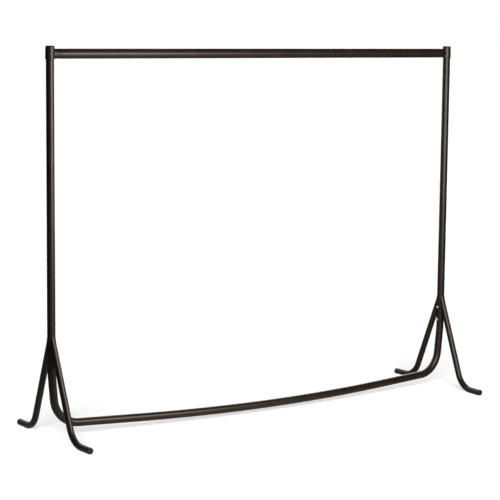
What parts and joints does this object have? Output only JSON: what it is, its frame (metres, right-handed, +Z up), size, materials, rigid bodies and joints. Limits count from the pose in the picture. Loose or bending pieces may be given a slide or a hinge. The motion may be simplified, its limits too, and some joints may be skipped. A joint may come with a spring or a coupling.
{
  "type": "garment rail",
  "caption": "Free-standing straight garment rail of bronze tube: a lift-off top rail on two uprights, splayed bent legs and a low bowed base bar.",
  "frame": {"origin": "on the floor, under the middle of the rail", "axes": "+X along the rail, -Y the front (the side the base bar bows towards), +Z up"},
  "size_m": [1.9792, 0.5688, 1.495],
  "materials": {
    "rail_coat": "satin dark bronze powder coat",
    "fitting_coat": "satin dark bronze powder coat on a casting",
    "upright_coat": "satin dark bronze powder coat",
    "base_coat": "satin dark bronze powder coat",
    "weld_coat": "satin dark bronze powder coat over weld ripples",
    "bare_steel": "plain oiled steel",
    "bolt_zinc": "bright zinc plate",
    "washer_zinc": "bright zinc plate",
    "plug_plastic": "dark moulded plastic"
  },
  "bodies": {
    "stand": {"base_tube": "base_coat", "upright_left": "upright_coat", "upright_right": "upright_coat", "joiner_tube_left": "bare_steel", "joiner_tube_right": "bare_steel", "clamp_bolts_left": "bolt_zinc", "clamp_bolts_right": "bolt_zinc", "clamp_washers_left": "washer_zinc", "clamp_washers_right": "washer_zinc", "weld_nuts_left": "bare_steel", "weld_nuts_right": "bare_steel", "leg_front_left": "base_coat", "leg_front_right": "base_coat", "leg_back_left": "base_coat", "leg_back_right": "base_coat", "leg_weld_front_left": "weld_coat", "leg_weld_front_right": "weld_coat", "leg_weld_back_left": "weld_coat", "leg_weld_back_right": "weld_coat", "foot_plug_front_left": "plug_plastic", "foot_plug_front_right": "plug_plastic", "foot_plug_back_left": "plug_plastic", "foot_plug_back_right": "plug_plastic"},
    "rail_assembly": {"top_rail": "rail_coat", "end_fitting_left": "fitting_coat", "end_fitting_right": "fitting_coat"}
  },
  "joints": [
    {"name": "rail_lift", "type": "slide", "parent": "stand", "child": "rail_assembly", "axis": [0, 0, 1], "range_m": [0, 0.045]}
  ]
}
